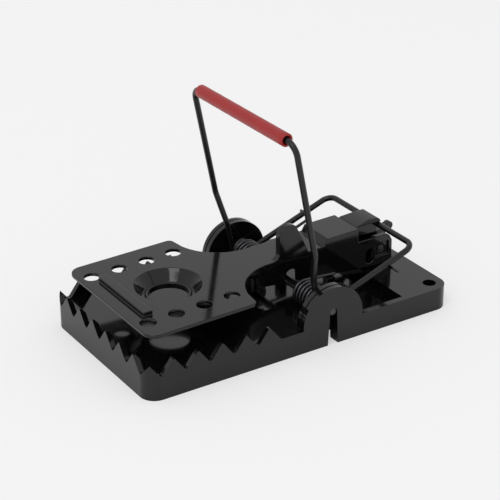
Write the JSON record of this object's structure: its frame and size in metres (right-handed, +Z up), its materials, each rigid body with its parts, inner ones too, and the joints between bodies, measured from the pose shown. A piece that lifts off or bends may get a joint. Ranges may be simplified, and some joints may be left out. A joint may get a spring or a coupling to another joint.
{
  "type": "snap mouse trap",
  "caption": "Snap mouse trap: toothed moulded tray, tilting perforated bait plate with latch, double wire bail with grip sleeve, torsion springs.",
  "frame": {"origin": "centre of the tray's underside, on the ground", "axes": "+X along the tray towards the catch and the fixing holes, +Z up, +Y to the left when looking along +X"},
  "size_m": [0.098, 0.052, 0.0626],
  "materials": {
    "black_plastic": "glossy moulded black",
    "steel": "plain drawn steel",
    "black_wire": "satin black coating",
    "spring_wire": "dark oiled spring wire",
    "red_sleeve": "soft red sleeve with a dull sheen"
  },
  "bodies": {
    "tray": {"base_tray": "black_plastic", "axle": "steel", "left_spring": "spring_wire", "right_spring": "spring_wire", "pivot_pin": "steel"},
    "striker": {"double_bail": "black_wire", "grip_sleeve": "red_sleeve"},
    "treadle": {"treadle": "black_plastic", "bait_cup": "black_plastic"}
  },
  "joints": [
    {"name": "strike", "type": "hinge", "parent": "tray", "child": "striker", "pos_m": [0.0085, 0, 0.0099], "axis": [0, -1, 0], "range_deg": [0, 64], "deforming": ["left_spring", "right_spring"]},
    {"name": "treadle_tilt", "type": "hinge", "parent": "tray", "child": "treadle", "pos_m": [0.0398, 0, 0.0121], "axis": [0, -1, 0], "range_deg": [0, 4.5]}
  ]
}
